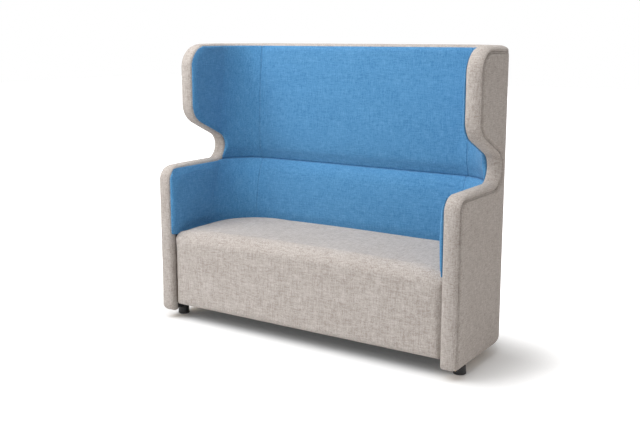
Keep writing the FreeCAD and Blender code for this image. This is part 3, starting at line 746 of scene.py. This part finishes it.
# %% Welt in the rim seam
WELT, WELT_INSET, WELT_FOLD, WELT_SUNK = 0.0028, 0.0040, 0.022, 0.0045
skin, behind_skin = HALF_WIDTH - WELT_INSET, BACK - WELT_INSET
into = np.clip((LOWER_EDGE + WELT_FOLD - seam_line[:, 1]) / WELT_FOLD, 0, 1)
fold = WELT_FOLD * (1 - np.sqrt(1 - into ** 2))
fold += WELT_SUNK * (1 - ease(seam_line[:, 0], 0.0, CORNER_START) * (seam_line[:, 1] > UPPER))
side = [(skin - d, y, z) for d, (y, z) in zip(fold, seam_line)]
corner = rounded([(skin, CORNER_START, 0), (skin, behind_skin, CORNER - WELT_INSET), (0.0, behind_skin, 0)])
route = side + [(x, y, seam_line[-1][1]) for x, y in corner[1:]]
route += [(-x, y, z) for x, y, z in route[-2::-1]]
line = bpy.data.curves.new("seam_welt", "CURVE")
line.dimensions = "3D"
line.bevel_depth = WELT
line.bevel_resolution = 2
line.use_fill_caps = True
spline = line.splines.new("POLY")
spline.points.add(len(route) - 1)
for point, place in zip(spline.points, route):
    point.co = (*place, 1)
welt = bpy.data.objects.new("seam_welt", line)
scene.collection.objects.link(welt)
pick(welt)
bpy.ops.object.convert(target="MESH")
welt.data.materials.clear()
welt.data.materials.append(grey_wool)
bpy.ops.object.shade_smooth()
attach(welt, "shell")
print("welt faces:", len(welt.data.polygons))

# %% [markdown]
# ## Dust cloth, and strips of painted shade
# Black dust cloth closes the seat box from below. It is stapled along its edges, so it hangs a few
# millimetres in the middle and puckers a little between staples. Two strips of the same dark cloth lie on
# the inner faces of the base beams as painted shade, so the gaps beside the seat show dark instead of wood.
# A subdivided plane takes each form from two sums, and a Solidify modifier gives it thickness.


# %% Dust cloth sheets
def dust_sheet(name, place, flat):
    """A thin sheet whose points place() works out from two shares, each from 0 to 1 across the plane."""
    pick()
    bpy.ops.mesh.primitive_plane_add(size=1.0, location=(0, 0, 0))
    sheet = bpy.context.object
    sheet.name = sheet.data.name = name
    bpy.ops.object.mode_set(mode="EDIT")
    bpy.ops.mesh.subdivide(number_cuts=48)
    bpy.ops.object.mode_set(mode="OBJECT")
    grid = points_of(sheet) + 0.5
    set_points(sheet, np.stack(place(grid[:, 0], grid[:, 1]), axis=1))
    finish_with(sheet, "SOLIDIFY", thickness=0.0008, offset=0.0)
    bpy.ops.object.mode_set(mode="EDIT")
    bpy.ops.mesh.select_all(action="SELECT")
    bpy.ops.mesh.normals_make_consistent(inside=False)
    bpy.ops.object.mode_set(mode="OBJECT")
    bpy.ops.object.shade_smooth()
    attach(sheet, "shell")
    print(name, "flat size:", [round(v, 3) for v in flat])
    return sheet


print("dust cloth tool ready")

# %% Cloth under the seat
BELLY, PUCKER, STAPLES = 0.0035, 0.0006, 22
box_low, box_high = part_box("dust_cover")
cloth_size = (box_high[0] - box_low[0], box_high[1] - box_low[1])


def under_seat(across, along):
    """The cloth under the seat box: edges level with its solid, a belly between them."""
    belly = BELLY * np.sin(math.pi * across) ** 0.5 * np.sin(math.pi * along) ** 0.5
    edge = (1 - along) ** 8 + along ** 8
    pucker = PUCKER * edge * np.sin(2 * math.pi * STAPLES * across)
    return (box_low[0] + cloth_size[0] * across, box_low[1] + cloth_size[1] * along,
            (box_low[2] + box_high[2]) / 2 - belly - pucker)


under_cloth = dust_sheet("under_cloth", under_seat, cloth_size)
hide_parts("dust_cover")
dust_cloth_and_shade_strips = [under_cloth]

# %% Strips of painted shade on the beams
SHADE_STRIP_LENGTH, SHADE_STRIP_START, SHADE_STRIP_OFF, SHADE_STRIP_LOOSE = 0.384, 0.002, 0.0015, 0.0012
# Painted shade: dark cloth laid on the beams' inner faces, so the gaps beside the seat read as shadow.
for end, way in (("right", 1), ("left", -1)):
    beam_low, beam_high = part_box(f"side_beam_{end}")
    face = beam_low[0] if way > 0 else beam_high[0]
    tall = beam_high[2] - beam_low[2]

    def shade_strip_on_beam(along, rise):
        """A dark strip on a beam's inner face, loose by about a millimetre: painted shade where the gap
        beside the seat would show wood.
        """
        loose = SHADE_STRIP_LOOSE * np.sin(along * 31) * np.sin(rise * math.pi)
        return (face - way * (SHADE_STRIP_OFF + loose), beam_low[1] + SHADE_STRIP_START + SHADE_STRIP_LENGTH * along,
                beam_low[2] + tall * rise)

    strip = dust_sheet(f"beam_cloth_{end}", shade_strip_on_beam, (SHADE_STRIP_LENGTH, tall))
    dust_cloth_and_shade_strips.append(strip)

# %% [markdown]
# ## Hard finishes
# Feet are moulded black plastic on zinc-plated stems. Inside the shell there are plywood, softwood, webbing
# and black dust cloth. Wood gets grain along its length, plastic and zinc plate a fine grain in gloss and
# height, and webbing and dust cloth a darker, coarser or finer version of the weave.


# %% Hard materials
def grained(name, dark, pale, stretch, rough):
    """Wood: rings of noise drawn out along the grain."""
    made, shader, root, place = new_material(name)
    turned = drawn_out(root, place, stretch)
    grain = noise(root, turned, scale=1.0, detail=5.0, rough=0.6, twist=0.6)
    pores = noise(root, turned, scale=9.0, detail=2.0, rough=0.5)
    tone = grain * 0.75 + pores * 0.25
    plug(shader, "Base Color", tone.between(0.38, 0.64).mixed((*dark, 1), (*pale, 1)))
    plug(shader, "Roughness", rough + pores * 0.2)
    bump = root.node("Bump", inputs={"Strength": 0.15, "Distance": 0.0005, "Height": tone})
    plug(shader, "Normal", bump)
    return made


def moulded(name, colour, rough, metal, size):
    """Plastic or plated metal: a fine grain in gloss and height."""
    made, shader, root, place = new_material(name)
    grain = noise(root, place, scale=size, detail=3.0, rough=0.6)
    wear = noise(root, place, scale=40.0, detail=4.0, rough=0.65)
    lighter = tuple(min(1.0, c * 1.4 + 0.004) for c in colour)
    plug(shader, "Base Color", wear.between(0.45, 0.75).mixed((*colour, 1), (*lighter, 1)))
    plug(shader, "Roughness", grain * 0.18 + (wear * 0.12 + (rough - 0.14)))
    bump = root.node("Bump", inputs={"Strength": 0.12, "Distance": 0.0003, "Height": grain})
    plug(shader, "Normal", bump)
    shader.inputs["Metallic"].default_value = metal
    return made


PLYWOOD_TONES = (0.50, 0.33, 0.19), (0.72, 0.55, 0.36)
PINE_TONES = (0.58, 0.39, 0.20), (0.78, 0.60, 0.38)
WEBBING_TONES = (0.012, 0.012, 0.012), (0.028, 0.028, 0.03), (0.06, 0.06, 0.06)
DUST_CLOTH_TONES = (0.01, 0.01, 0.01), (0.02, 0.02, 0.021), (0.035, 0.035, 0.036)
print("plain tones of webbing and dust cloth:", WEBBING_TONES[1], DUST_CLOTH_TONES[1])

# %% Finishes on the CAD solids
finishes = {
    "plywood": grained("birch_plywood", *PLYWOOD_TONES, stretch=(60.0, 60.0, 5.0), rough=0.5),
    "softwood": grained("pine", *PINE_TONES, stretch=(6.0, 70.0, 70.0), rough=0.55),
    "webbing": woven("black_webbing", *WEBBING_TONES, pitch=0.003),
    "dust_cloth": woven("dust_cloth_black", *DUST_CLOTH_TONES, pitch=0.001),
    "black_plastic": moulded("moulded_black", (0.007, 0.007, 0.008), rough=0.46, metal=0.0, size=900.0),
    "zinc_steel": moulded("zinc_plate", (0.50, 0.51, 0.52), rough=0.38, metal=1.0, size=500.0),
}
# The real dust cloth and the strips of painted shade take the same black cloth.
for sheet in dust_cloth_and_shade_strips:
    sheet.data.materials.append(finishes["dust_cloth"])
for part in frame["record"]["subparts"]:
    if part["material_slot"] in finishes:
        solid = frame["nodes"][part["node"]]
        solid.data.materials.clear()
        solid.data.materials.append(finishes[part["material_slot"]])
print("finishes on CAD solids:", ", ".join(finishes))

# %% [markdown]
# ## Studio floor
# A plain pale floor fades to white. Its white is seen only by the camera, in gloss and through glass, so it
# throws no extra light, and it starts a little way off from a box under the settee, so the shadow stays.

# %% Floor
SHADE_FORWARD, SHADE_HALF, SHADE_FADE = (0.0, 0.10, 0.0), (0.86, 0.12, 0.0), 0.62
LEAST_LIFT = 0.05


def seen_directly(root):
    """1 for rays that show the surround itself: to the camera, in gloss and through glass."""
    rays = [root.node("LightPath", out=f"Is {kind} Ray") for kind in ("Camera", "Glossy", "Transmission")]
    return root.maths("MINIMUM", rays[0] + rays[1] + rays[2], 1.0)


pick()
bpy.ops.mesh.primitive_plane_add(size=40.0, location=(0, 0, 0))
floor = bpy.context.object
floor.name = "studio_floor"
floor_paint, floor_shader, floor_root, floor_place = new_material("floor_paint")
floor_shader.inputs["Base Color"].default_value = (0.86, 0.86, 0.86, 1)
floor_shader.inputs["Roughness"].default_value = 0.9
floor_shader.inputs["Specular IOR Level"].default_value = 0.1
floor_shader.inputs["Emission Strength"].default_value = 1.0
seen = seen_directly(floor_root)
from_shade = floor_root.node("VectorMath", {"operation": "ADD"}, {0: floor_place, 1: SHADE_FORWARD})
inside = floor_root.node("VectorMath", {"operation": "ABSOLUTE"}, {0: from_shade})
past = floor_root.node("VectorMath", {"operation": "SUBTRACT"}, {0: inside, 1: SHADE_HALF})
past = floor_root.node("VectorMath", {"operation": "MAXIMUM"}, {0: past, 1: (0.0, 0.0, 0.0)})
away = floor_root.node("VectorMath", {"operation": "LENGTH"}, {0: past}, 1)
lift = LEAST_LIFT + (1 - LEAST_LIFT) * away.between(0.0, SHADE_FADE)
plug(floor_shader, "Emission Color", seen * lift)
floor.data.materials.append(floor_paint)
print("floor material:", floor_paint.name)

# %% [markdown]
# ## Studio light
# The surround is pure white where it is seen and weaker as light. One large soft lamp stands at the front
# left, a larger one hangs overhead, and a weak warm one stands low on the right.

# %% Surround and lamps
AMBIENT = 0.45
world = bpy.data.worlds.new("studio") if scene.world is None else scene.world
scene.world = world
world.use_nodes = True
world.node_tree.nodes.clear()
sky = Wire(world.node_tree)
strength = seen_directly(sky) * (1 - AMBIENT) + AMBIENT
surround = sky.node("Background", inputs={0: (1, 1, 1, 1), 1: strength})
sky.node("OutputWorld", inputs={0: surround})


def lamp(name, place, target, size, power):
    """A square soft lamp that faces its target."""
    bpy.ops.object.light_add(type="AREA", location=place)
    made = bpy.context.object
    made.name = name
    made.data.size = size
    made.data.energy = power
    aim = [t - p for t, p in zip(target, place)]
    tilt = math.atan2(math.hypot(aim[0], aim[1]), -aim[2])
    made.rotation_euler = (tilt, 0, math.atan2(-aim[0], aim[1]))
    return made


SETTEE_MIDDLE, ARM_FOOT = (0.0, 0.0, 0.7), (0.8, 0.0, 0.2)
lamp("key_lamp", (-2.6, -3.2, 3.4), SETTEE_MIDDLE, size=2.6, power=91.0)
lamp("top_lamp", (-0.6, -1.4, 4.2), SETTEE_MIDDLE, size=4.0, power=160.0)
warm = lamp("fill_lamp", (2.9, 0.1, 0.5), ARM_FOOT, size=1.4, power=5.0)
warm.data.color = (1.0, 0.84, 0.70)
print("ambient strength:", AMBIENT)

# %% [markdown]
# ## Camera
# The camera stands where the photograph was taken: about 1.4 m up, looking at the settee from its
# right-hand side. A small shift of the lens gives the photograph's framing.

# %% Camera
bpy.ops.object.camera_add(location=(2.26115, -3.55148, 1.40969))
camera = bpy.context.object
camera.rotation_euler = (math.radians(90 - 10.0407), 0, math.radians(33.2614))
camera.data.lens = 50.645
camera.data.sensor_width = 36.0
camera.data.shift_y = -0.03
scene.camera = camera
scene.view_settings.view_transform = "Standard"
print("camera at", tuple(round(v, 2) for v in camera.location))
